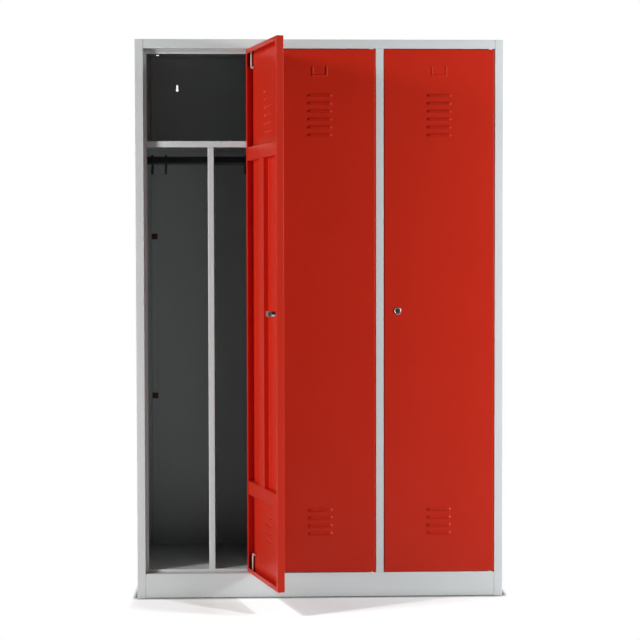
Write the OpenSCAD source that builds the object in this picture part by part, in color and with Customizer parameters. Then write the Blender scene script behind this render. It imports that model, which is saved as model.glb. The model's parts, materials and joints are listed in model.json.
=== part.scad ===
// Sheet steel clothing locker with three doors. Each column has a hat compartment over a
// hanging space that an upright partition splits into a wide and a narrow side. The left door
// stands open. The origin is the middle of the footprint, on the floor; doors face -Y.

/* [Cabinet] */
// Height over all
body_h = 1800; // [1700:10:2000]
// Depth over all, doors closed
body_d = 500; // [420:10:600]
// Clear width of each door opening
opening_w = 360; // [320:5:420]
// Thickness of the cabinet's sheet steel
sheet = 0.8; // [0.6:0.1:1.2]
// Width of the two outer stiles
stile_w = 27.5; // [24:0.5:40]
// Depth of the outer stiles' flange, flush with the side panels
stile_flange = 15; // [8:1:22]
// Width of the stiles between two doors
mid_w = 25; // [20:1:40]
// Height of the header above the doors
header_h = 29; // [25:1:60]
// Height of the kick plate below the doors
plinth_h = 78.5; // [60:0.5:120]
// Width of the stop lip that each door closes against
stop_lip = 8.5; // [6:0.5:12]
// Height of the header's own lip, under its ledge
header_lip = 7; // [5:0.5:9]
// Height of the deeper lip behind it
header_inner_lip = 14.5; // [10:0.5:20]
// Radius of the folds, to the middle of the sheet
fold_r = 1.5; // [1:0.1:2]
// Depth of the kick plate's bottom flange
plinth_flange = 20; // [12:1:60]

/* [Back and rear corners] */
// Distance from the side to the inner edge of the rear upright
post_w = 40; // [34:1:50]
// Width of the raised face of the rear upright
post_face = 22; // [20:1:26]
// How far the rear upright stands off the back panel
post_d = 5; // [4:0.5:10]
// Height of the rear flange of the top panel
top_rear_flange = 31; // [20:1:60]
// Distance of each keyhole from the cabinet's side
keyhole_x = 110; // [60:1:160]
// Distance of the keyhole's round part below the cabinet's top
keyhole_drop = 112.5; // [80:0.5:160]
// Diameter of the keyhole's round part
keyhole_d = 9.5; // [9:0.5:16]
// Width of the keyhole's slot
keyhole_slot = 6.5; // [4:0.5:8]
// Length of the slot above the round part, between centres
keyhole_len = 15; // [12:1:30]
// Size of the square cap in the rear upright
cap_size = 20; // [14:1:20]
// Height of the lower cap above the floor
cap_low_z = 617; // [300:1:800]
// Height of the upper cap above the floor
cap_high_z = 1176; // [900:1:1300]
// Width of the slot near each rear corner of the top
top_hole_d = 10; // [8:1:20]
// Length of that slot from end to end, front to back
top_hole_len = 30; // [24:1:40]
// Distance of that slot from the cabinet's side
top_hole_x = 47; // [30:1:80]
// Distance of the middle of that slot from the cabinet's back
top_hole_y = 77; // [40:1:120]

/* [Inside] */
// Distance of the hat shelf's top face below the cabinet's top
shelf_drop = 323; // [200:1:400]
// Height of the shelf's folded front edge
shelf_edge = 20; // [14:1:30]
// Depth of the fold behind that edge
shelf_fold = 12; // [8:1:20]
// Height of the floor pan's top face above the kick plate
floor_rise = 9.5; // [7:0.5:20]
// Distance from the opening's left edge to the middle of the partition
partition_x = 214; // [160:1:250]
// Width of the partition's folded front edge
partition_edge = 20; // [14:1:30]
// Depth of that folded edge
partition_fold = 13; // [8:1:20]
// Height of the hanging rail's oval section
rail_h = 27; // [20:1:34]
// Thickness of the hanging rail's oval section
rail_t = 14; // [10:1:18]
// Wall of the hanging rail
rail_wall = 1.5; // [1:0.1:2.5]
// Distance of the rail's axis below the hat shelf's top face
rail_drop = 50; // [45:1:120]
// Distance of the rail's axis behind the front face
rail_y = 250; // [200:5:300]
// Length of the socket that holds each end of the rail
socket_len = 14; // [8:1:18]
// Wall of that socket
socket_wall = 2.3; // [1.5:0.1:4]

/* [Coat hooks] */
// Width of a hook along the rail
hook_w = 7; // [5:0.5:10]
// Thickness of the hook's strap
hook_strap = 5; // [3:0.5:7]
// Radius of the hook's bowl, to the middle of its strap
hook_bowl = 11; // [9:0.5:16]
// Length of the stem between the ring and the bowl
hook_stem = 17; // [8:1:30]
// Distance of the left hook from the opening's left edge
hook_left = 12; // [10:1:30]
// Distance of the second hook from the opening's left edge
hook_second = 57; // [50:1:110]
// Distance of the right hook from the opening's right edge
hook_right = 37; // [20:1:70]

/* [Doors] */
// Thickness over all of a folded door
door_t = 23; // [20:0.5:26]
// Thickness of the door's sheet steel
door_sheet = 1; // [0.8:0.1:1.2]
// Gap round a closed door
door_gap = 2; // [1.5:0.1:4]
// Width of the lip round the inside of the door
door_lip = 15; // [12:1:18]
// Angle at which the left door stands open
open_angle = 105.6; // [0:0.1:110]
// Distance of the hinge axis from the door's hinge edge
pin_x = 12; // [12:0.5:16]
// Distance of the hinge axis behind the door's face
pin_y = 7.5; // [6:0.5:8]
// Diameter of the hinge pins
pin_d = 6; // [5:0.5:6.5]
// Distance from the door's end to the foot of the pin
pin_drop = 60; // [50:1:90]
// Length of the foot that works the pin
pin_foot = 28; // [15:1:40]
// How far a pin reaches past the door gap
pin_reach = 12; // [8:1:14]
// Bend radius between rod and foot
pin_bend = 6; // [5:0.5:10]
// Wall of the guide that a pin lies in
guide_wall = 2; // [1.5:0.5:4]
// Wall of the bush that a pin turns in
bush_wall = 1.5; // [1:0.1:2]
// Depth of that bush behind its flange
bush_len = 6; // [3:0.5:8]

/* [Door stiffeners] */
// Height of each cross brace
brace_h = 44; // [30:1:60]
// Middle of the upper brace, below the door's upper end
brace_drop = 336; // [330:1:400]
// Middle of the lower brace, above the door's lower end
brace_rise = 276.5; // [260:0.5:340]
// Distance of the upright channel from the hinge edge
channel_x = 136; // [100:1:150]
// Width of the upright channel
channel_w = 54; // [30:1:80]
// Depth of the upright channel
channel_d = 17; // [10:0.5:18]
// Width of the channel's feet on the door's skin
channel_foot = 10; // [6:1:16]

/* [Louvres and label holder] */
// Length of one louvre
louvre_l = 80; // [50:1:110]
// Height of one louvre
louvre_h = 9; // [6:0.5:12]
// How far a louvre stands out
louvre_p = 4; // [2:0.25:5]
// Spacing of the louvres
louvre_pitch = 25.4; // [18:0.1:28]
// Louvres in the upper group
louvres_top = 6; // [3:1:6]
// Louvres in the lower group
louvres_low = 4; // [2:1:4]
// Lower edge of the highest louvre, below the door's upper end
louvre_drop = 151; // [130:1:160]
// Lower edge of the lowest louvre, above the door's lower end
louvre_rise = 124; // [110:0.5:140]
// Width of the label holder
label_w = 50; // [40:1:70]
// Height of the label holder
label_h = 32; // [24:1:36]
// Lower edge of the label holder, below the door's upper end
label_drop = 86; // [80:1:100]
// Width of the bead that frames the label
label_bead = 5; // [5:0.5:8]
// How far the bead stands out
label_p = 2.4; // [1.5:0.1:2.5]

/* [Lock] */
// Distance of the lock's axis from the door's free edge
lock_x = 43.5; // [35:0.5:60]
// Height of the lock's axis above the door's lower end
lock_rise = 847.5; // [700:0.5:1000]
// Diameter of the ring on the door's face
lock_ring_d = 24; // [22:0.5:28]
// Height of that ring
lock_ring_t = 2.5; // [2:0.5:4]
// Diameter of the lock's barrel
lock_barrel_d = 19; // [18:0.5:20]
// Diameter of the turning plug
lock_plug_d = 15; // [12:0.5:15]
// Width across the flats of the fixing nut
lock_nut_af = 24; // [22:1:27]
// Thickness of the fixing nut
lock_nut_t = 6; // [3:0.5:9]
// How far the cam reaches past the door's free edge when locked
cam_past = 1.5; // [0:0.5:6]
// Width of the cam
cam_w = 16; // [12:0.5:20]
// Thickness of the cam
cam_t = 2.5; // [1.5:0.1:4]
// Width across the square end of the plug
cam_square = 8; // [6:0.5:8.5]

/* [Fits] */
// Radial clearance of a turning or sliding pin
run_fit = 0.1; // [0.05:0.01:0.1]
// Clearance between welded or resting sheets
rest_fit = 0.2; // [0.1:0.05:0.3]
// Clearance of a hook round its rail
hook_fit = 0.3; // [0.2:0.05:0.5]
// Clearance of the turning door's corner to the stop lip
swing_fit = 0.85; // [0.5:0.05:2]
// Clearance of the cam behind the stop lip
cam_fit = 1.7; // [1:0.1:3]
// Play between a door and the flanges of its bushes, and between barrel and cam
end_fit = 0.3; // [0.2:0.05:0.6]

/* [Hidden] */
$fn = 48;
// Overlap that makes a cut run clean through
over = 1;
// Gap between sheets that pass close by each other
apart = 0.5;

columns = 3;
mid = sheet / 2;
door_mid = door_sheet / 2;
body_w = 2 * stile_w + columns * opening_w + (columns - 1) * mid_w;
top_under = body_h - sheet;
header_z = body_h - header_h;
floor_z = plinth_h + floor_rise;
rebate_d = ceil((pin_y + norm([pin_x, door_t - pin_y]) + swing_fit) * 10) / 10;
lip_back = rebate_d + sheet;
inner_front = lip_back + 2 * sheet;
post_y = body_d - 2 * sheet - post_d;
post_x = post_w - post_face;
cap_hole = cap_size - 3;
inner_back = post_y - apart;
shelf_z = body_h - shelf_drop;
shelf_front_z = shelf_z - shelf_edge;
rail_z = shelf_z - rail_drop;

door_w = opening_w - 2 * door_gap;
door_z0 = plinth_h + door_gap;
door_z1 = header_z - door_gap;
door_h = door_z1 - door_z0;
door_in_r = fold_r - door_mid;
swing_r = door_w - pin_x;
bore_r = pin_d / 2 + run_fit;
bush_r = pin_d / 2 + bush_wall;
bush_flange_r = pin_y - sheet;
bush_flange_t = door_gap - end_fit;
guide_len = pin_drop - pin_bend - guide_wall;
brace_web_y = door_t - 2 * door_sheet;
brace_low_z = door_z0 + brace_rise;
brace_top_z = door_z1 - brace_drop;
louvre_r = (louvre_p * louvre_p + louvre_h * louvre_h) / (2 * louvre_p);
cam_y = lip_back + cam_fit;
lock_len = cam_y - end_fit;
cam_reach = lock_x + cam_past;
rest_angles = [open_angle, 0, 0];

// Left edge of a column's door opening, counted from 0
function opening_x(i) = stile_w + i * (opening_w + mid_w);
// Inner faces of the walls to the left and right of a column
function wall_left(i) = i == 0 ? sheet : opening_x(i) - mid_w / 2 + mid;
function wall_right(i) = i == columns - 1 ? body_w - sheet : opening_x(i) + opening_w + mid_w / 2 - mid;
// Hinge axis of a column's door
function hinge_x(i) = opening_x(i) + opening_w - door_gap - pin_x;
function unit(v) = v / norm(v);

// Cabinet coordinates: x from the left side, y from the front face, z from the floor
module in_cabinet() {
    translate([-body_w / 2, -body_d / 2, 0])
        children();
}

// Door coordinates: x from the free edge, y from the door's face, z from the floor
module on_door(i) {
    in_cabinet()
        translate([hinge_x(i), pin_y, 0])
            rotate([0, 0, rest_angles[i]])
                translate([-swing_r, -pin_y, 0])
                    children();
}

// Section of a sheet folded along a line of square corners, which runs through its middle
module folded(points, t = sheet) {
    last = len(points) - 1;
    for (k = [0 : last - 1]) {
        run = points[k + 1] - points[k];
        start = points[k] + unit(run) * (k > 0 ? fold_r : 0);
        end = points[k + 1] - unit(run) * (k < last - 1 ? fold_r : 0);
        translate((start + end) / 2)
            rotate(atan2(run[1], run[0]))
                square([norm(end - start), t], center = true);
    }
    for (k = [1 : last - 1]) {
        turn = unit(points[k + 1] - points[k]) - unit(points[k] - points[k - 1]);
        translate(points[k] + turn * fold_r)
            intersection() {
                difference() {
                    circle(fold_r + t / 2);
                    circle(fold_r - t / 2);
                }
                translate([turn[0] > 0 ? -2 * fold_r : 0, turn[1] > 0 ? -2 * fold_r : 0])
                    square(2 * fold_r);
            }
    }
}

// Runs a section drawn in y and z along x
module along_x(x0, x1) {
    translate([x0, 0, 0])
        rotate([90, 0, 90])
            linear_extrude(x1 - x0)
                children();
}

// Runs a section drawn in x and y up z
module up_z(z0, z1) {
    translate([0, 0, z0])
        linear_extrude(z1 - z0)
            children();
}

module block(x0, x1, y0, y1, z0, z1) {
    translate([x0, y0, z0])
        cube([x1 - x0, y1 - y0, z1 - z0]);
}

// Upright oval, as wide as t and as high as h
module oval(t, h) {
    square([t, h - t], center = true);
    for (s = [-1, 1])
        translate([0, s * (h - t) / 2])
            circle(t / 2);
}

module rounded_rect(w, h, r) {
    translate([r, 0])
        square([w - 2 * r, h]);
    translate([0, r])
        square([w, h - 2 * r]);
    for (x = [r, w - r], y = [r, h - r])
        translate([x, y])
            circle(r);
}

// Side panel with its rear upright, drawn as the left one
module side_sheet() {
    back = body_d - sheet;
    difference() {
        up_z(0, top_under)
            folded([
                [post_w - mid, back],
                [post_w - mid, post_y + mid],
                [post_x + mid, post_y + mid],
                [post_x + mid, back - mid],
                [mid, back - mid],
                [mid, stile_flange]
            ]);
        for (z = [cap_low_z, cap_high_z])
            translate([post_x + post_face / 2, post_y + mid, z])
                cube([cap_hole, 2 * sheet, cap_hole], center = true);
    }
}

// Outer stile with its door rebate and stop lip, drawn as the left one
module outer_stile() {
    up_z(0, top_under)
        folded([
            [mid, stile_flange],
            [mid, mid],
            [stile_w - mid, mid],
            [stile_w - mid, lip_back]
        ]);
    block(stile_w - sheet, stile_w + stop_lip, rebate_d, lip_back, plinth_h, header_z);
}

module left_side() {
    color("gainsboro") in_cabinet() side_sheet();
}

module right_side() {
    color("gainsboro") in_cabinet() translate([body_w, 0, 0]) mirror([1, 0, 0]) side_sheet();
}

module outer_stiles() {
    color("gainsboro") in_cabinet() {
        outer_stile();
        translate([body_w, 0, 0])
            mirror([1, 0, 0])
                outer_stile();
    }
}

module bush_holes(z) {
    for (i = [0 : columns - 1])
        translate([hinge_x(i), pin_y, z])
            cylinder(r = bush_r, h = 3 * sheet, center = true);
}

// Flat top with rounded front corners and a rounded front edge
module top_sheet() {
    corner = fold_r + mid;
    intersection() {
        up_z(top_under, body_h) {
            translate([0, corner])
                square([body_w, body_d - corner]);
            translate([corner, 0])
                square([body_w - 2 * corner, body_d]);
            for (x = [corner, body_w - corner])
                translate([x, corner])
                    circle(corner);
        }
        along_x(0, body_w) {
            translate([sheet, top_under])
                circle(sheet);
            translate([sheet, top_under - over])
                square([body_d, over + sheet]);
        }
    }
}

// Slot through the top, round at both ends
module top_slot() {
    run = top_hole_len - top_hole_d;
    for (y = [-run / 2, run / 2])
        translate([0, y, 0])
            cylinder(d = top_hole_d, h = 4 * sheet, center = true);
    cube([top_hole_d, run, 4 * sheet], center = true);
}

module top_panel() {
    color("gainsboro") in_cabinet() difference() {
        union() {
            top_sheet();
            along_x(stile_w, body_w - stile_w)
                folded([[mid, top_under], [mid, header_z + mid], [lip_back, header_z + mid]]);
            for (i = [0 : columns - 1])
                block(opening_x(i) + stop_lip + rest_fit, opening_x(i) + opening_w - stop_lip - rest_fit,
                    rebate_d, lip_back, header_z - header_lip, header_z + sheet);
            block(stile_w, body_w - stile_w, lip_back, lip_back + sheet,
                header_z - header_inner_lip, header_z + sheet);
            block(post_w + rest_fit, body_w - post_w - rest_fit, body_d - 2 * sheet, body_d - sheet,
                body_h - top_rear_flange, body_h);
        }
        bush_holes(header_z + mid);
        for (x = [top_hole_x, body_w - top_hole_x])
            translate([x, body_d - top_hole_y, body_h])
                top_slot();
    }
}

module kick_plate() {
    color("gainsboro") in_cabinet() difference() {
        along_x(stile_w, body_w - stile_w)
            folded([[plinth_flange, mid], [mid, mid], [mid, plinth_h - mid], [lip_back, plinth_h - mid]]);
        bush_holes(plinth_h - mid);
    }
}

module floor_pan() {
    y0 = lip_back + mid;
    y1 = body_d - sheet - mid;
    notch = post_w + apart;
    color("gainsboro") in_cabinet() difference() {
        along_x(sheet, body_w - sheet)
            folded([[y0, plinth_h + apart], [y0, floor_z - mid], [y1, floor_z - mid], [y1, plinth_h / 2]]);
        for (x = [-over, body_w - notch])
            block(x, x + notch + over, post_y - apart, body_d, 0, floor_z + over);
    }
}

module keyhole() {
    cylinder(d = keyhole_d, h = 3 * sheet, center = true);
    translate([0, keyhole_len / 2, 0])
        cube([keyhole_slot, keyhole_len, 3 * sheet], center = true);
    translate([0, keyhole_len, 0])
        cylinder(d = keyhole_slot, h = 3 * sheet, center = true);
}

module back_panel() {
    color("gainsboro") in_cabinet() difference() {
        block(0, body_w, body_d - sheet, body_d, 0, top_under);
        for (x = [keyhole_x, body_w - keyhole_x])
            translate([x, body_d, body_h - keyhole_drop])
                rotate([90, 0, 0])
                    keyhole();
    }
}

// Wall between two columns with the stile that it carries
module divider(i) {
    x = opening_x(i) - mid_w / 2;
    half = mid_w / 2;
    color("gainsboro") in_cabinet() difference() {
        union() {
            up_z(plinth_h, header_z)
                folded([
                    [x - half - stop_lip, rebate_d + mid],
                    [x - half + mid, rebate_d + mid],
                    [x - half + mid, mid],
                    [x + half - mid, mid],
                    [x + half - mid, rebate_d + mid],
                    [x + half + stop_lip, rebate_d + mid]
                ]);
            block(x - mid, x + mid, mid, inner_front, floor_z, header_z - header_inner_lip - apart);
            block(x - mid, x + mid, lip_back + sheet, body_d - sheet, floor_z, top_under);
        }
        block(x - sheet, x + sheet, body_d - 2 * sheet - apart, body_d,
            body_h - top_rear_flange - apart, body_h);
    }
}

module hat_shelf(i) {
    y0 = inner_front + mid;
    y1 = y0 + shelf_fold;
    rim = inner_back - mid;
    color("gainsboro") in_cabinet()
        along_x(wall_left(i) + rest_fit, wall_right(i) - rest_fit)
            folded([
                [y1, shelf_front_z + shelf_fold / 2],
                [y1, shelf_front_z + mid],
                [y0, shelf_front_z + mid],
                [y0, shelf_z - mid],
                [rim, shelf_z - mid],
                [rim, shelf_z + shelf_fold]
            ]);
}

module partition(i) {
    x = opening_x(i) + partition_x;
    half = partition_edge / 2;
    y0 = inner_front + mid;
    y1 = inner_front + partition_fold + mid;
    lip = 3;
    shelf_back = inner_front + shelf_fold + sheet + rest_fit;
    color("gainsboro") in_cabinet() difference() {
        up_z(floor_z, shelf_z - sheet - rest_fit)
            folded([
                [x + half - mid, y1 - lip],
                [x + half - mid, y0],
                [x - half + mid, y0],
                [x - half + mid, y1],
                [x, y1],
                [x, inner_back]
            ]);
        block(x - half - over, x + half + over, 0, shelf_back, shelf_front_z - rest_fit, shelf_z);
        translate([x, rail_y, rail_z])
            rotate([90, 0, 90])
                linear_extrude(4 * sheet, center = true)
                    oval(rail_t + 2 * apart, rail_h + 2 * apart);
    }
}

module hanging_rail(i) {
    end = sheet + rest_fit;
    color("#202022") in_cabinet()
        along_x(wall_left(i) + end, wall_right(i) - end)
            translate([rail_y, rail_z])
                difference() {
                    oval(rail_t, rail_h);
                    oval(rail_t - 2 * rail_wall, rail_h - 2 * rail_wall);
                }
}

// Cup that a rail end lies in, with its plate on the wall at x = 0
module rail_socket() {
    plate = 14;
    cup = 2 * (rest_fit + socket_wall);
    rotate([90, 0, 90]) {
        linear_extrude(sheet)
            oval(rail_t + plate, rail_h + plate);
        linear_extrude(socket_len)
            difference() {
                oval(rail_t + cup, rail_h + cup);
                oval(rail_t + 2 * rest_fit, rail_h + 2 * rest_fit);
            }
    }
}

module rail_sockets() {
    color("#2c2c2e") in_cabinet()
        for (i = [0 : columns - 1]) {
            translate([wall_left(i), rail_y, rail_z])
                rail_socket();
            translate([wall_right(i), rail_y, rail_z])
                mirror([1, 0, 0])
                    rail_socket();
        }
}

// Square caps pressed into the rear uprights
module rear_caps() {
    head = 2 * sheet;
    x = post_x + post_face / 2;
    stem = cap_hole - 2 * rest_fit;
    color("#5a2d22") in_cabinet()
        for (z = [cap_low_z, cap_high_z], x = [x, body_w - x])
            translate([x, post_y, z]) {
                translate([0, -head / 2, 0])
                    cube([cap_size, head, cap_size], center = true);
                cube([stem, head, stem], center = true);
            }
}

// Flanged bush for a ledge, with its flange at z = 0, towards the door
module bush() {
    difference() {
        union() {
            cylinder(r = bush_flange_r, h = bush_flange_t);
            cylinder(r = bush_r - run_fit, h = bush_flange_t + bush_len);
        }
        translate([0, 0, -over])
            cylinder(r = bore_r, h = bush_flange_t + bush_len + 2 * over);
    }
}

module hinge_bushes() {
    color("whitesmoke") in_cabinet()
        for (i = [0 : columns - 1]) {
            translate([hinge_x(i), pin_y, header_z - bush_flange_t])
                bush();
            translate([hinge_x(i), pin_y, plinth_h + bush_flange_t])
                mirror([0, 0, 1])
                    bush();
        }
}

// Hood of a louvre, solid: a slice of a cylinder between two quarters of a dome. Its open
// edge is at z = 0; out is how far it stands out, and in how far it goes into the door.
module louvre_hood(r, out, in) {
    straight = louvre_l / 2 - louvre_h;
    module section() {
        intersection() {
            translate([0, r - out])
                circle(r, $fn = 96);
            translate([0, -out])
                square([louvre_h + over, out + in]);
        }
    }
    translate([-straight, 0, 0])
        rotate([90, 0, 90])
            linear_extrude(2 * straight)
                mirror([1, 0])
                    rotate(90)
                        section();
    for (s = [0, 1])
        mirror([s, 0, 0])
            translate([straight, 0, 0])
                rotate([-90, 0, 0])
                    rotate([0, 0, -90])
                        rotate_extrude(angle = 90)
                            section();
}

// Puts its child at the open edge of every louvre
module at_louvres() {
    for (k = [0 : louvres_top - 1])
        translate([door_w / 2, 0, door_z1 - louvre_drop - k * louvre_pitch])
            children();
    for (k = [0 : louvres_low - 1])
        translate([door_w / 2, 0, door_z0 + louvre_rise + k * louvre_pitch])
            children();
}

// Bead on three sides of the label, open at the top, with a slot for the card behind it
module label_holder() {
    r = label_bead / 2;
    x = label_w / 2 - r;
    card = 0.7;
    difference() {
        intersection() {
            union() {
                for (s = [-1, 1])
                    translate([s * x, 0, r]) {
                        sphere(r);
                        cylinder(r = r, h = label_h - label_bead);
                        translate([0, 0, label_h - label_bead])
                            sphere(r);
                    }
                translate([-x, 0, r])
                    rotate([0, 90, 0])
                        cylinder(r = r, h = 2 * x);
            }
            block(-label_w, label_w, -label_p, door_mid, -over, label_h + over);
        }
        block(-x, x, -card, 0, r, label_h + over);
    }
}

// Block as large as the door's outside, or smaller all round by inset
module door_form(inset) {
    r = fold_r + door_mid - inset;
    intersection() {
        up_z(door_z0 + inset, door_z1 - inset)
            translate([inset, inset])
                rounded_rect(door_w - 2 * inset, door_t - 2 * inset, r);
        along_x(inset, door_w - inset)
            translate([inset, door_z0 + inset])
                rounded_rect(door_t - 2 * inset, door_h - 2 * inset, r);
    }
}

// Folded pan with its louvres, label holder, and holes for the pins and the lock
module door_shell(i) {
    color("firebrick") on_door(i) difference() {
        union() {
            difference() {
                door_form(0);
                door_form(door_sheet);
                block(door_lip, door_w - door_lip, door_t / 2, door_t + over,
                    door_z0 + door_lip, door_z1 - door_lip);
            }
            at_louvres()
                louvre_hood(louvre_r, louvre_p, door_mid);
            translate([door_w / 2, 0, door_z1 - label_drop])
                label_holder();
        }
        at_louvres()
            louvre_hood(louvre_r - door_sheet, louvre_p - door_sheet, door_sheet + over);
        translate([lock_x, 0, door_z0 + lock_rise])
            rotate([90, 0, 0])
                cylinder(d = lock_barrel_d + 2 * run_fit, h = 4 * door_sheet, center = true);
        for (z = [door_z0, door_z1])
            translate([swing_r, pin_y, z])
                cylinder(r = bore_r, h = 4 * door_sheet, center = true);
    }
}

// Two braces across the inside of the door, open towards its skin
module cross_braces(i) {
    end = door_sheet + door_in_r;
    color("firebrick") on_door(i)
        for (z = [brace_low_z, brace_top_z])
            along_x(end, door_w - end)
                folded([
                    [door_sheet, z - brace_h / 2 + door_mid],
                    [brace_web_y + door_mid, z - brace_h / 2 + door_mid],
                    [brace_web_y + door_mid, z + brace_h / 2 - door_mid],
                    [door_sheet, z + brace_h / 2 - door_mid]
                ], door_sheet);
}

module upright_channel(i) {
    foot_y = door_sheet + door_mid;
    x0 = door_w - channel_x - channel_w + door_mid;
    x1 = door_w - channel_x - door_mid;
    color("firebrick") on_door(i)
        up_z(brace_low_z + brace_h / 2 + rest_fit, brace_top_z - brace_h / 2 - rest_fit)
            folded([
                [x0 - channel_foot, foot_y],
                [x0, foot_y],
                [x0, foot_y + channel_d],
                [x1, foot_y + channel_d],
                [x1, foot_y],
                [x1 + channel_foot, foot_y]
            ], door_sheet);
}

// Troughs that the pins lie in, open towards the free edge
module pin_guides(i) {
    x0 = swing_r - pin_d / 2 - guide_wall;
    corner = door_in_r + rest_fit;
    end = door_sheet + door_in_r;
    color("#1c1c1e") on_door(i)
        for (z = [door_z0 + end, door_z1 - end - guide_len])
            up_z(z, z + guide_len)
                difference() {
                    translate([x0, door_sheet])
                        rounded_rect(door_w - door_sheet - x0, 2 * (pin_y - door_sheet), corner);
                    translate([swing_r, pin_y])
                        circle(bore_r);
                    translate([x0 - over, pin_y - bore_r])
                        square([swing_r - x0 + over, 2 * bore_r]);
                }
}

// Rod with a bent foot; z runs from the foot to the tip
module hinge_pin() {
    length = pin_drop + door_gap + pin_reach;
    tip = pin_d / 4;
    translate([0, 0, pin_bend])
        cylinder(d = pin_d, h = length - pin_bend - tip);
    translate([0, 0, length - tip])
        cylinder(d1 = pin_d, d2 = pin_d - tip, h = tip);
    translate([-pin_bend, 0, pin_bend])
        rotate([90, 0, 0])
            rotate([0, 0, -90])
                rotate_extrude(angle = 90)
                    translate([pin_bend, 0])
                        circle(d = pin_d);
    translate([-pin_bend, 0, 0])
        rotate([0, -90, 0])
            cylinder(d = pin_d, h = pin_foot - pin_bend);
}

module top_pin(i) {
    color("silver") on_door(i)
        translate([swing_r, pin_y, door_z1 - pin_drop])
            hinge_pin();
}

module bottom_pin(i) {
    color("silver") on_door(i)
        translate([swing_r, pin_y, door_z0 + pin_drop])
            mirror([0, 0, 1])
                hinge_pin();
}

// Lock coordinates: z runs from the door's face into the locker, x away from the free edge
module on_lock(i) {
    on_door(i)
        translate([lock_x, 0, door_z0 + lock_rise])
            rotate([-90, 0, 0])
                children();
}

module lock_barrel(i) {
    bevel = 1;
    bore = lock_plug_d + 2 * run_fit;
    color("silver") on_lock(i) difference() {
        union() {
            translate([0, 0, -lock_ring_t])
                cylinder(d1 = lock_ring_d - 2 * bevel, d2 = lock_ring_d, h = bevel);
            translate([0, 0, bevel - lock_ring_t])
                cylinder(d = lock_ring_d, h = lock_ring_t - bevel);
            cylinder(d = lock_barrel_d, h = lock_len);
        }
        translate([0, 0, -lock_ring_t - over])
            cylinder(d = bore, h = lock_len + lock_ring_t + 2 * over);
        translate([0, 0, -lock_ring_t])
            cylinder(d1 = bore + 2 * bevel, d2 = bore, h = bevel);
    }
}

module lock_nut(i) {
    color("silver") on_lock(i)
        translate([0, 0, door_sheet])
            difference() {
                cylinder(d = lock_nut_af / cos(30), h = lock_nut_t, $fn = 6);
                translate([0, 0, -over])
                    cylinder(d = lock_barrel_d + 2 * run_fit, h = lock_nut_t + 2 * over);
            }
}

// Turning plug with its keyway, the square that carries the cam, and the screw head behind it
module lock_plug(i) {
    face = lock_ring_t / 2;
    key_w = 1.8;
    key_h = lock_plug_d * 0.55;
    key_depth = 10;
    screw_rim = 2;
    screw_d = cam_square + 2 * screw_rim;
    screw_h = 3;
    color("dimgray") on_lock(i) difference() {
        union() {
            translate([0, 0, -face])
                cylinder(d = lock_plug_d, h = lock_len + face);
            translate([-cam_square / 2, -cam_square / 2, lock_len])
                cube([cam_square, cam_square, cam_y - lock_len + cam_t]);
            translate([0, 0, cam_y + cam_t])
                cylinder(d = screw_d, h = screw_h);
        }
        translate([-key_w / 2, -key_h / 2, -face - over])
            cube([key_w, key_h, key_depth + over]);
    }
}

// Cam in its open position, pointing towards the hinge
module lock_cam(i) {
    corner = 3;
    color("silver") on_lock(i)
        translate([0, 0, cam_y])
            linear_extrude(cam_t)
                difference() {
                    union() {
                        circle(cam_w / 2);
                        translate([0, -cam_w / 2])
                            square([cam_reach - corner, cam_w]);
                        translate([cam_reach - 3 * corner, -cam_w / 2])
                            rounded_rect(3 * corner, cam_w, corner);
                    }
                    square(cam_square + 2 * run_fit, center = true);
                }
}

// Hook that slides on the rail at x, its bowl towards the door
module coat_hook(x) {
    slack = 1;
    knob_r = hook_strap * 0.7;
    ring_h = rail_h + slack + 2 * hook_fit;
    ring_t = rail_t + 2 * hook_fit;
    ring_z = hook_fit - (ring_h - rail_h) / 2;
    bowl_z = ring_z - ring_h / 2 - hook_strap / 2 - hook_stem;
    color("#26262a") in_cabinet()
        along_x(x - hook_w / 2, x + hook_w / 2)
            translate([rail_y, rail_z]) {
                translate([0, ring_z])
                    difference() {
                        oval(ring_t + 2 * hook_strap, ring_h + 2 * hook_strap);
                        oval(ring_t, ring_h);
                    }
                translate([-hook_strap / 2, bowl_z])
                    square([hook_strap, hook_stem]);
                translate([-hook_bowl, bowl_z])
                    difference() {
                        circle(hook_bowl + hook_strap / 2);
                        circle(hook_bowl - hook_strap / 2);
                        translate([-2 * hook_bowl, 0])
                            square([4 * hook_bowl, 2 * hook_bowl]);
                    }
                translate([-2 * hook_bowl, bowl_z])
                    circle(knob_r);
            }
}

left_side();
right_side();
outer_stiles();
top_panel();
kick_plate();
floor_pan();
back_panel();
divider(1);  // divider_1
divider(2);  // divider_2
hat_shelf(0);  // hat_shelf_1
hat_shelf(1);  // hat_shelf_2
hat_shelf(2);  // hat_shelf_3
partition(0);  // partition_1
partition(1);  // partition_2
partition(2);  // partition_3
hanging_rail(0);  // hanging_rail_1
hanging_rail(1);  // hanging_rail_2
hanging_rail(2);  // hanging_rail_3
rail_sockets();
rear_caps();
hinge_bushes();
door_shell(0);  // door_shell_1
cross_braces(0);  // cross_braces_1
upright_channel(0);  // upright_channel_1
pin_guides(0);  // pin_guides_1
top_pin(0);  // top_pin_1
bottom_pin(0);  // bottom_pin_1
lock_barrel(0);  // lock_barrel_1
lock_nut(0);  // lock_nut_1
lock_plug(0);  // lock_plug_1
lock_cam(0);  // lock_cam_1
door_shell(1);  // door_shell_2
cross_braces(1);  // cross_braces_2
upright_channel(1);  // upright_channel_2
pin_guides(1);  // pin_guides_2
top_pin(1);  // top_pin_2
bottom_pin(1);  // bottom_pin_2
lock_barrel(1);  // lock_barrel_2
lock_nut(1);  // lock_nut_2
lock_plug(1);  // lock_plug_2
lock_cam(1);  // lock_cam_2
door_shell(2);  // door_shell_3
cross_braces(2);  // cross_braces_3
upright_channel(2);  // upright_channel_3
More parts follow.
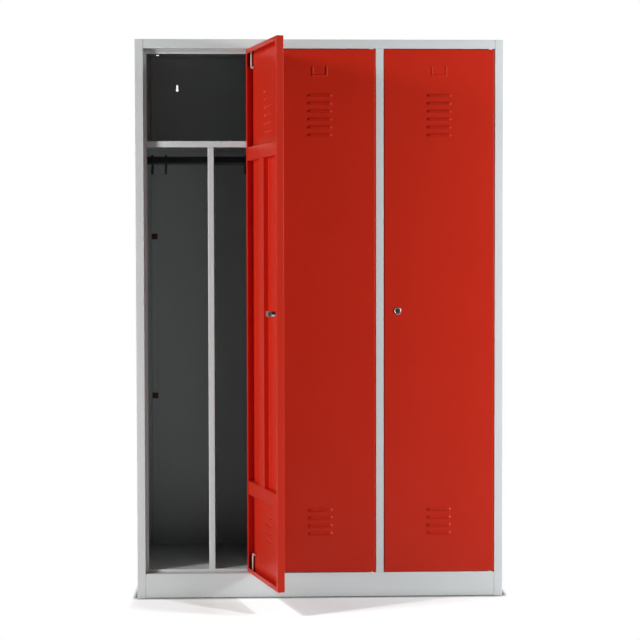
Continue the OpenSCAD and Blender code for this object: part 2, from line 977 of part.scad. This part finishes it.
pin_guides(2);  // pin_guides_3
top_pin(2);  // top_pin_3
bottom_pin(2);  // bottom_pin_3
lock_barrel(2);  // lock_barrel_3
lock_nut(2);  // lock_nut_3
lock_plug(2);  // lock_plug_3
lock_cam(2);  // lock_cam_3
coat_hook(opening_x(0) + hook_left);  // coat_hook_1_left
coat_hook(opening_x(0) + hook_second);  // coat_hook_1_second
coat_hook(opening_x(0) + opening_w - hook_right);  // coat_hook_1_right
coat_hook(opening_x(1) + hook_left);  // coat_hook_2_left
coat_hook(opening_x(1) + hook_second);  // coat_hook_2_second
coat_hook(opening_x(1) + opening_w - hook_right);  // coat_hook_2_right
coat_hook(opening_x(2) + hook_left);  // coat_hook_3_left
coat_hook(opening_x(2) + hook_second);  // coat_hook_3_second
coat_hook(opening_x(2) + opening_w - hook_right);  // coat_hook_3_right
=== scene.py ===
# Clothing locker with three louvred doors: finishes, fittings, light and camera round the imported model
import json
import math

import bmesh
import bpy
from mathutils import Matrix, Vector


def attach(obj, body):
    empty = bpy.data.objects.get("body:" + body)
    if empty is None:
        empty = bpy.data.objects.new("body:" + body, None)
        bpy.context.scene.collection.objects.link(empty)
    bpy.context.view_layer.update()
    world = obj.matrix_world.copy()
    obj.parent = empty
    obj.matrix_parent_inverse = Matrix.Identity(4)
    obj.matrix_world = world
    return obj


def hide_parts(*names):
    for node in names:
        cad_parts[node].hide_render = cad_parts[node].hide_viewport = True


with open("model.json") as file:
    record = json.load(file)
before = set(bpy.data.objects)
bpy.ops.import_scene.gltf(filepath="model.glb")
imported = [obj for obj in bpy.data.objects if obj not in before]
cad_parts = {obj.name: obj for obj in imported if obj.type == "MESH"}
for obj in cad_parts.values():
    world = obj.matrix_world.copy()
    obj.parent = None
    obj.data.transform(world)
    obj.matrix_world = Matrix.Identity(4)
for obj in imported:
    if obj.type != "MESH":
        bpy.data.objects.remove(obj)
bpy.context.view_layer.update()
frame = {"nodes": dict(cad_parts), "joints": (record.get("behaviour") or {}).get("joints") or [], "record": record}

nodes = frame["nodes"]
record = frame["record"]
joints = {joint["name"]: joint for joint in frame["joints"]}
slotOf = {part["node"]: part["material_slot"] for part in record["subparts"]}
bodyOf = {node: body for body, names in record["behaviour"]["bodies"].items() for node in names}
scene = bpy.context.scene
print("frame loaded,", len(nodes), "nodes")


# Camera, where the photographer stood: a long lens a little left of the middle, at chest height
camera = {
    "place": (-0.1793, -5.5522, 1.0953),
    "turnedLeft": -1.934,  # degrees
    "tippedDown": 2.116,
    "rolled": -0.098,
    "lens": 92.52,
    "sensor": 36.0,
    "nearest": 0.1,
}


def makeCamera():
    data = bpy.data.cameras.new("camera")
    data.lens = camera["lens"]
    data.sensor_width = camera["sensor"]
    data.clip_start = camera["nearest"]
    obj = bpy.data.objects.new("camera", data)
    scene.collection.objects.link(obj)
    turn = Matrix.Rotation(math.radians(camera["turnedLeft"]), 4, "Z")
    tip = Matrix.Rotation(math.radians(90 - camera["tippedDown"]), 4, "X")
    roll = Matrix.Rotation(math.radians(camera["rolled"]), 4, "Z")
    obj.matrix_world = Matrix.Translation(camera["place"]) @ turn @ tip @ roll
    scene.camera = obj


makeCamera()
print("camera placed")


# Studio: softboxes at three heights on either side, two behind, one overhead, a white room, and a small lamp
# on either side for the floor alone, which throws the open door's two crisp shadows
warmWhite = (1.0, 1.0, 0.985)
coolWhite = (0.965, 0.985, 1.0)
studio = {
    "aim": (0.0, -0.15, 0.9),
    "softboxes": {
        "left_low_softbox": {"place": (-2.60, -1.54, 0.13), "size": 0.5, "watts": 40, "colour": warmWhite},
        "left_middle_softbox": {"place": (-2.60, -1.54, 1.30), "size": 0.5, "watts": 16, "colour": warmWhite},
        "left_high_softbox": {"place": (-2.60, -1.54, 2.30), "size": 0.5, "watts": 41, "colour": warmWhite},
        "right_low_softbox": {"place": (2.26, -2.05, 0.13), "size": 0.5, "watts": 21, "colour": coolWhite},
        "right_middle_softbox": {"place": (2.60, -1.54, 1.30), "size": 0.5, "watts": 54, "colour": coolWhite},
        "right_high_softbox": {"place": (2.60, -1.54, 2.20), "size": 0.5, "watts": 26, "colour": coolWhite},
        "front_high_softbox": {"place": (1.69, -2.57, 2.20), "size": 0.5, "watts": 5, "colour": coolWhite},
        "overhead_softbox": {"place": (0.0, 1.1, 3.4), "size": 1.6, "watts": 24, "colour": (1.0, 1.0, 1.0)},
        "rear_left_softbox": {"place": (-1.0, 3.9, 2.0), "size": 1.6, "watts": 50, "colour": (1.0, 1.0, 1.0)},
        "rear_right_softbox": {"place": (2.8, 3.0, 2.2), "size": 1.6, "watts": 40, "colour": (1.0, 1.0, 1.0)},
    },
    "floorLamps": {
        "left_floor_lamp": {"place": (-2.03, -1.61, 2.12), "size": 0.10, "watts": 57, "colour": (1.0, 1.0, 0.99)},
        "right_floor_lamp": {"place": (1.74, -2.14, 1.80), "size": 0.10, "watts": 63, "colour": (0.97, 0.985, 1.0)},
    },
    "roomLight": 0.01,
    "backdrop": 1.0,
    "floorWhite": 0.67,
    "floorBounce": 0.40,    # how white it is to the light that falls back on the locker
    "floorHalf": 40,        # half of its side
    "paintedShadeReach": 0.035,  # reach of the painted contact shade along the plinth
    "paintedShadeEdge": 3.0,     # how suddenly it sets in
    "contactSamples": 8,
    "floorNear": 0.600,     # half width of the floor that takes shadows
    "floorFade": 0.012,
    "floorBehind": 0.26,    # there they fade from the back panel on
    "floorBehindFade": 0.45,
}


def makeLights(boxes):
    lamps = []
    for name, box in boxes.items():
        data = bpy.data.lights.new(name, "AREA")
        data.shape = "DISK"
        data.size = box["size"]
        data.energy = box["watts"]
        data.color = box["colour"]
        obj = bpy.data.objects.new(name, data)
        scene.collection.objects.link(obj)
        obj.visible_camera = False
        aim = Vector(studio["aim"]) - Vector(box["place"])
        obj.matrix_world = Matrix.Translation(box["place"]) @ aim.to_track_quat("-Z", "Y").to_matrix().to_4x4()
        lamps.append(obj)
    return lamps


def makeRoom():
    world = bpy.data.worlds.new("room")
    world.use_nodes = True
    scene.world = world
    tree = world.node_tree
    tree.nodes.clear()
    seen = tree.nodes.new("ShaderNodeLightPath")
    dim = tree.nodes.new("ShaderNodeBackground")
    dim.inputs["Strength"].default_value = studio["roomLight"]
    white = tree.nodes.new("ShaderNodeBackground")
    white.inputs["Color"].default_value = (1, 1, 1, 1)
    white.inputs["Strength"].default_value = studio["backdrop"]
    mix = tree.nodes.new("ShaderNodeMixShader")
    out = tree.nodes.new("ShaderNodeOutputWorld")
    tree.links.new(seen.outputs["Is Camera Ray"], mix.inputs["Fac"])
    tree.links.new(dim.outputs["Background"], mix.inputs[1])
    tree.links.new(white.outputs["Background"], mix.inputs[2])
    tree.links.new(mix.outputs["Shader"], out.inputs["Surface"])


def makeFloor():
    bm = bmesh.new()
    bmesh.ops.create_grid(bm, x_segments=1, y_segments=1, size=studio["floorHalf"])
    mesh = bpy.data.meshes.new("studio_floor")
    bm.to_mesh(mesh)
    bm.free()
    floor = bpy.data.objects.new("studio_floor", mesh)
    scene.collection.objects.link(floor)
    material = bpy.data.materials.new("studioFloor")
    material.use_nodes = True
    tree = material.node_tree
    link = tree.links.new
    seen = tree.nodes.new("ShaderNodeLightPath")
    paper = tree.nodes.new("ShaderNodeBsdfDiffuse")
    # painted shade: the floor's colour darkens where the plinth meets it, by ambient occlusion over a short reach
    contact = tree.nodes.new("ShaderNodeAmbientOcclusion")
    contact.samples = studio["contactSamples"]
    contact.inputs["Distance"].default_value = studio["paintedShadeReach"]
    paintedShadeDepth = tree.nodes.new("ShaderNodeMath")
    paintedShadeDepth.operation = "POWER"
    paintedShadeDepth.inputs[1].default_value = studio["paintedShadeEdge"]
    white = tree.nodes.new("ShaderNodeMapRange")
    white.inputs["To Min"].default_value = studio["floorBounce"]
    white.inputs["To Max"].default_value = studio["floorWhite"]
    tone = tree.nodes.new("ShaderNodeMath")
    tone.operation = "MULTIPLY"
    link(contact.outputs["AO"], paintedShadeDepth.inputs[0])
    link(seen.outputs["Is Camera Ray"], white.inputs["Value"])
    link(paintedShadeDepth.outputs["Value"], tone.inputs[0])
    link(white.outputs["Result"], tone.inputs[1])
    link(tone.outputs["Value"], paper.inputs["Color"])
    # away from the locker the floor fades into the white room
    coords = tree.nodes.new("ShaderNodeTexCoord")
    split = tree.nodes.new("ShaderNodeSeparateXYZ")
    across = tree.nodes.new("ShaderNodeMath")
    across.operation = "ABSOLUTE"
    fades = []
    for start, reach in (("floorNear", "floorFade"), ("floorBehind", "floorBehindFade")):
        fade = tree.nodes.new("ShaderNodeMapRange")
        fade.inputs["From Min"].default_value = studio[start]
        fade.inputs["From Max"].default_value = studio[start] + studio[reach]
        fades.append(fade)
    farthest = tree.nodes.new("ShaderNodeMath")
    farthest.operation = "MAXIMUM"
    away = tree.nodes.new("ShaderNodeMath")
    away.operation = "MULTIPLY"
    glow = tree.nodes.new("ShaderNodeEmission")
    mix = tree.nodes.new("ShaderNodeMixShader")
    link(coords.outputs["Object"], split.inputs["Vector"])
    link(split.outputs["X"], across.inputs[0])
    link(across.outputs["Value"], fades[0].inputs["Value"])
    link(split.outputs["Y"], fades[1].inputs["Value"])
    link(fades[0].outputs["Result"], farthest.inputs[0])
    link(fades[1].outputs["Result"], farthest.inputs[1])
    link(farthest.outputs["Value"], away.inputs[0])
    link(seen.outputs["Is Camera Ray"], away.inputs[1])
    link(away.outputs["Value"], mix.inputs["Fac"])
    link(paper.outputs["BSDF"], mix.inputs[1])
    link(glow.outputs["Emission"], mix.inputs[2])
    link(mix.outputs["Shader"], tree.nodes["Material Output"].inputs["Surface"])
    mesh.materials.append(material)
    return floor


makeLights(studio["softboxes"])
makeRoom()
floorAlone = bpy.data.collections.new("lit_by_floor_lamps")
floorAlone.objects.link(makeFloor())
for lamp in makeLights(studio["floorLamps"]):
    lamp.light_linking.receiver_collection = floorAlone
scene.view_settings.view_transform = "Standard"
print("studio lit")


# Node groups that the finishes share
noise = {
    "low": 0.3,         # the part of the noise's range that is used
    "high": 0.7,
    "shineSize": 23.0,  # patches of more and less gloss
}


def newGroup(name, inputs, outputs):
    tree = bpy.data.node_groups.new(name, "ShaderNodeTree")
    for label, value in inputs.items():
        if isinstance(value, tuple):
            kind = "NodeSocketColor" if len(value) == 4 else "NodeSocketVector"
        else:
            kind = "NodeSocketFloat"
        tree.interface.new_socket(name=label, in_out="INPUT", socket_type=kind).default_value = value
    for label, kind in outputs.items():
        tree.interface.new_socket(name=label, in_out="OUTPUT", socket_type=kind)
    return tree, tree.nodes.new("NodeGroupInput"), tree.nodes.new("NodeGroupOutput")


def addNoise(tree, scale, detail, vector=None):
    grey = tree.nodes.new("ShaderNodeTexNoise")
    grey.inputs["Detail"].default_value = detail
    if isinstance(scale, (int, float)):
        grey.inputs["Scale"].default_value = scale
    else:
        tree.links.new(scale, grey.inputs["Scale"])
    if vector is None:
        vector = tree.nodes.new("ShaderNodeTexCoord").outputs["Object"]
    tree.links.new(vector, grey.inputs["Vector"])
    return grey.outputs["Fac"]


# Slow change of colour over a surface, as between two coats from one batch
def makeColourDrift():
    tree, given, made = newGroup(
        "colourDrift",
        {"Colour": (0.5, 0.5, 0.5, 1.0), "Shade": (0.4, 0.4, 0.4, 1.0), "Size": 6.0},
        {"Colour": "NodeSocketColor"})
    link = tree.links.new
    spread = tree.nodes.new("ShaderNodeMapRange")
    spread.inputs["From Min"].default_value = noise["low"]
    spread.inputs["From Max"].default_value = noise["high"]
    mix = tree.nodes.new("ShaderNodeMix")
    mix.data_type = "RGBA"
    link(addNoise(tree, given.outputs["Size"], 3), spread.inputs["Value"])
    link(spread.outputs["Result"], mix.inputs["Factor"])
    link(given.outputs["Colour"], mix.inputs["A"])
    link(given.outputs["Shade"], mix.inputs["B"])
    link(mix.outputs["Result"], made.inputs["Colour"])
    return tree


# Fine relief: the orange peel of a powder coat, brush marks on metal, the skin of moulded plastic
def makeFineGrain():
    tree, given, made = newGroup(
        "fineGrain",
        {"Grain": 700.0, "Stretch": (1.0, 1.0, 1.0), "Depth": 0.00002, "Rough": 0.4, "Spread": 0.05,
         "Normal": (0.0, 0.0, 0.0)},
        {"Roughness": "NodeSocketFloat", "Normal": "NodeSocketVector"})
    link = tree.links.new
    coords = tree.nodes.new("ShaderNodeTexCoord")
    pull = tree.nodes.new("ShaderNodeVectorMath")
    pull.operation = "MULTIPLY"
    link(coords.outputs["Object"], pull.inputs[0])
    link(given.outputs["Stretch"], pull.inputs[1])
    grain = addNoise(tree, given.outputs["Grain"], 2, pull.outputs["Vector"])
    bump = tree.nodes.new("ShaderNodeBump")
    link(grain, bump.inputs["Height"])
    link(given.outputs["Depth"], bump.inputs["Distance"])
    link(given.outputs["Normal"], bump.inputs["Normal"])
    link(bump.outputs["Normal"], made.inputs["Normal"])
    low = tree.nodes.new("ShaderNodeMath")
    low.operation = "SUBTRACT"
    high = tree.nodes.new("ShaderNodeMath")
    high.operation = "ADD"
    for edge in (low, high):
        link(given.outputs["Rough"], edge.inputs[0])
        link(given.outputs["Spread"], edge.inputs[1])
    shine = tree.nodes.new("ShaderNodeMapRange")
    shine.inputs["From Min"].default_value = noise["low"]
    shine.inputs["From Max"].default_value = noise["high"]
    link(addNoise(tree, noise["shineSize"], 4), shine.inputs["Value"])
    link(low.outputs["Value"], shine.inputs["To Min"])
    link(high.outputs["Value"], shine.inputs["To Max"])
    link(shine.outputs["Result"], made.inputs["Roughness"])
    return tree


# Slow waves of a large folded sheet
def makeSheetWave():
    tree, given, made = newGroup(
        "sheetWave", {"Size": 3.0, "Depth": 0.0002}, {"Normal": "NodeSocketVector"})
    bump = tree.nodes.new("ShaderNodeBump")
    tree.links.new(addNoise(tree, given.outputs["Size"], 1), bump.inputs["Height"])
    tree.links.new(given.outputs["Depth"], bump.inputs["Distance"])
    tree.links.new(bump.outputs["Normal"], made.inputs["Normal"])
    return tree


groups = {"colourDrift": makeColourDrift(), "fineGrain": makeFineGrain(), "sheetWave": makeSheetWave()}

# Finishes, by the record's slots; dull_zinc is zinc as it has gone on the back of the locks. Sizes of noise are
# per metre, depths in metres. The bounce colours are what a paint gives to other parts, near and far.
finishes = {
    "grey_paint": {
        "colour": (0.606, 0.628, 0.632), "shade": (0.588, 0.610, 0.614), "drift": 5, "metal": 0.0,
        "bounceNear": (0.48, 0.50, 0.50), "bounceFar": (0.42, 0.44, 0.44), "bounceReach": (0.05, 0.12),
        "grain": 650, "stretch": (1, 1, 1), "depth": 0.00002, "rough": 0.36, "spread": 0.02, "wave": 0.0002},
    "red_paint": {
        "colour": (0.495, 0.0215, 0.0088), "shade": (0.480, 0.0205, 0.0082), "drift": 4, "metal": 0.0,
        "gloss": 0.3, "glossTint": (1.0, 0.5, 0.45),
        "bounceNear": (0.92, 0.020, 0.008), "bounceFar": (0.30, 0.12, 0.11), "bounceReach": (0.05, 0.12),
        "grain": 650, "stretch": (1, 1, 1), "depth": 0.00002, "rough": 0.33, "spread": 0.02, "wave": 0.0002},
    "rail_black": {
        "colour": (0.012, 0.012, 0.014), "shade": (0.02, 0.02, 0.022), "drift": 18, "metal": 0.0,
        "grain": 900, "stretch": (0.05, 1, 1), "depth": 0.00002, "rough": 0.36, "spread": 0.05, "wave": 0.0},
    "hook_black": {
        "colour": (0.014, 0.014, 0.015), "shade": (0.022, 0.022, 0.024), "drift": 40, "metal": 0.0,
        "grain": 1500, "stretch": (1, 1, 1), "depth": 0.00003, "rough": 0.45, "spread": 0.06, "wave": 0.0},
    # the dark red tint of this black plastic is painted shade: on the pin guides it stands for the red door's shade
    # beside the hinge pins
    "black_plastic": {
        "colour": (0.060, 0.006, 0.006), "shade": (0.075, 0.008, 0.008), "drift": 40, "metal": 0.0, "gloss": 0.15,
        "grain": 1500, "stretch": (1, 1, 1), "depth": 0.00004, "rough": 0.60, "spread": 0.06, "wave": 0.0},
    "brown_plastic": {
        "colour": (0.080, 0.022, 0.012), "shade": (0.105, 0.030, 0.016), "drift": 60, "metal": 0.0,
        "grain": 1500, "stretch": (1, 1, 1), "depth": 0.00004, "rough": 0.50, "spread": 0.06, "wave": 0.0},
    "white_plastic": {
        "colour": (0.80, 0.80, 0.77), "shade": (0.76, 0.76, 0.72), "drift": 60, "metal": 0.0,
        "grain": 1500, "stretch": (1, 1, 1), "depth": 0.00003, "rough": 0.40, "spread": 0.05, "wave": 0.0},
    "zinc": {
        "colour": (0.56, 0.54, 0.50), "shade": (0.50, 0.48, 0.45), "drift": 90, "metal": 0.25,
        "grain": 1400, "stretch": (1, 1, 0.06), "depth": 0.00002, "rough": 0.40, "spread": 0.08, "wave": 0.0},
    "dull_zinc": {
        "colour": (0.26, 0.27, 0.25), "shade": (0.19, 0.20, 0.19), "drift": 90, "metal": 0.5,
        "grain": 1400, "stretch": (1, 1, 0.06), "depth": 0.00002, "rough": 0.42, "spread": 0.08, "wave": 0.0},
    "nickel": {
        "colour": (0.86, 0.84, 0.80), "shade": (0.80, 0.78, 0.74), "drift": 70, "metal": 1.0,
        "grain": 2200, "stretch": (1, 1, 1), "depth": 0.000004, "rough": 0.26, "spread": 0.05, "wave": 0.0},
    "dark_metal": {
        "colour": (0.20, 0.21, 0.23), "shade": (0.14, 0.15, 0.17), "drift": 120, "metal": 1.0,
        "grain": 2400, "stretch": (1, 1, 0.08), "depth": 0.00001, "rough": 0.34, "spread": 0.08, "wave": 0.0},
}


def makeFinish(name, look):
    material = bpy.data.materials.new(name)
    material.use_nodes = True
    tree = material.node_tree
    link = tree.links.new
    skin = tree.nodes["Principled BSDF"]
    skin.inputs["Metallic"].default_value = look["metal"]
    skin.inputs["Specular IOR Level"].default_value = look.get("gloss", 0.5)
    skin.inputs["Specular Tint"].default_value = (*look.get("glossTint", (1, 1, 1)), 1)
    drift = tree.nodes.new("ShaderNodeGroup")
    drift.node_tree = groups["colourDrift"]
    drift.inputs["Colour"].default_value = (*look["colour"], 1)
    drift.inputs["Shade"].default_value = (*look["shade"], 1)
    drift.inputs["Size"].default_value = look["drift"]
    grain = tree.nodes.new("ShaderNodeGroup")
    grain.node_tree = groups["fineGrain"]
    grain.inputs["Grain"].default_value = look["grain"]
    grain.inputs["Stretch"].default_value = look["stretch"]
    grain.inputs["Depth"].default_value = look["depth"]
    grain.inputs["Rough"].default_value = look["rough"]
    grain.inputs["Spread"].default_value = look["spread"]
    wave = tree.nodes.new("ShaderNodeGroup")
    wave.node_tree = groups["sheetWave"]
    wave.inputs["Depth"].default_value = look["wave"]
    link(wave.outputs["Normal"], grain.inputs["Normal"])
    colour = drift.outputs["Colour"]
    if "bounceNear" in look:
        # red folds glow in their own colour, but the grey parts further off pick up next to none of it, and
        # the compartments stay dim
        path = tree.nodes.new("ShaderNodeLightPath")
        near = tree.nodes.new("ShaderNodeMapRange")
        near.inputs["From Min"].default_value = look["bounceReach"][0]
        near.inputs["From Max"].default_value = look["bounceReach"][1]
        near.inputs["To Min"].default_value = 1.0
        near.inputs["To Max"].default_value = 0.0
        thrown = tree.nodes.new("ShaderNodeMix")
        thrown.data_type = "RGBA"
        thrown.inputs["A"].default_value = (*look["bounceFar"], 1)
        thrown.inputs["B"].default_value = (*look["bounceNear"], 1)
        shown = tree.nodes.new("ShaderNodeMix")
        shown.data_type = "RGBA"
        link(path.outputs["Ray Length"], near.inputs["Value"])
        link(near.outputs["Result"], thrown.inputs["Factor"])
        link(path.outputs["Is Diffuse Ray"], shown.inputs["Factor"])
        link(colour, shown.inputs["A"])
        link(thrown.outputs["Result"], shown.inputs["B"])
        colour = shown.outputs["Result"]
    link(colour, skin.inputs["Base Color"])
    link(grain.outputs["Roughness"], skin.inputs["Roughness"])
    link(grain.outputs["Normal"], skin.inputs["Normal"])
    return material


materials = {name: makeFinish(name, look) for name, look in finishes.items()}
for name, obj in nodes.items():
    for place in obj.material_slots:
        place.material = materials[slotOf[name]]
print("finishes mixed,", len(materials), "in all")


rounding = {
    "weld": 0.000002,
    "cut": 0.000001,
    "flat": 0.6,   # degrees between faces that count as one
    "sharp": 38,   # from here on an edge is rounded
    "smooth": 35,  # up to here an edge is shaded smooth
}


# Pieces that stand for a CAD node, in its own place
def addPiece(name, bm, node, finish):
    bmesh.ops.recalc_face_normals(bm, faces=bm.faces)
    for face in bm.faces:
        face.smooth = True
    for edge in bm.edges:
        edge.smooth = edge.is_manifold and edge.calc_face_angle(0) < math.radians(rounding["smooth"])
    mesh = bpy.data.meshes.new(name)
    bm.to_mesh(mesh)
    bm.free()
    mesh.materials.append(materials[finish])
    piece = bpy.data.objects.new(name, mesh)
    scene.collection.objects.link(piece)
    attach(piece, bodyOf[node])
    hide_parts(node)


# The guides hold the hinge pins from behind: their lips stop beside the pin, whose front is bare. Their dark red
# strips on both sides of the pin are partly a real part and partly painted shade, standing for the pin's shadows on
# the red door.
def bareTheFront(bm, node, lip):
    door = node[-1]
    pin = Vector(joints["door_hinge_" + door]["pos_m"])
    lock = sum((Vector(corner) for corner in nodes["lock_barrel_" + door].bound_box), Vector()) / 8
    across = Vector((lock.x - pin.x, lock.y - pin.y, 0)).normalized()
    cut = bmesh.ops.bisect_plane(
        bm, geom=bm.verts[:] + bm.edges[:] + bm.faces[:], dist=rounding["cut"],
        plane_co=pin + across * lip, plane_no=across, clear_outer=True)
    rim = [e for e in cut["geom_cut"] if isinstance(e, bmesh.types.BMEdge)]
    bmesh.ops.holes_fill(bm, edges=rim, sides=0)


# Small fittings keep their CAD form and get the rounded edges of moulded, turned and stamped parts
def roundedFitting(node, look):
    bm = bmesh.new()
    bm.from_mesh(nodes[node].data)
    bmesh.ops.remove_doubles(bm, verts=bm.verts, dist=rounding["weld"])
    if "lip" in look:
        bareTheFront(bm, node, look["lip"])
    bmesh.ops.dissolve_limit(bm, angle_limit=math.radians(rounding["flat"]), verts=bm.verts, edges=bm.edges)
    sharp = [e for e in bm.edges if e.is_manifold and e.calc_face_angle(0) > math.radians(rounding["sharp"])]
    bmesh.ops.bevel(
        bm, geom=sharp, offset=look["edge"], offset_type="OFFSET", segments=look["steps"], profile=0.5,
        affect="EDGES", clamp_overlap=True, material=-1)
    bmesh.ops.triangulate(bm, faces=bm.faces)
    addPiece(node + "_rounded", bm, node, look.get("finish", slotOf[node]))


# radius and steps of the edges; lip is how far the guides reach past the pin's axis
fittings = {
    "coat_hook": {"edge": 0.0012, "steps": 3},
    "rail_sockets": {"edge": 0.0005, "steps": 2},
    "rear_caps": {"edge": 0.0005, "steps": 2},
    "hinge_bushes": {"edge": 0.0003, "steps": 2},
    "pin_guides": {"edge": 0.0004, "steps": 2, "lip": 0.0005},
    "lock_barrel": {"edge": 0.0003, "steps": 2},
    "lock_nut": {"edge": 0.0006, "steps": 2, "finish": "dull_zinc"},
    "lock_cam": {"edge": 0.0004, "steps": 2, "finish": "dull_zinc"},
    "lock_plug": {"edge": 0.0002, "steps": 2},
}
for node in sorted(nodes):
    for kind, look in fittings.items():
        if node.startswith(kind):
            roundedFitting(node, look)
print("fittings rounded")
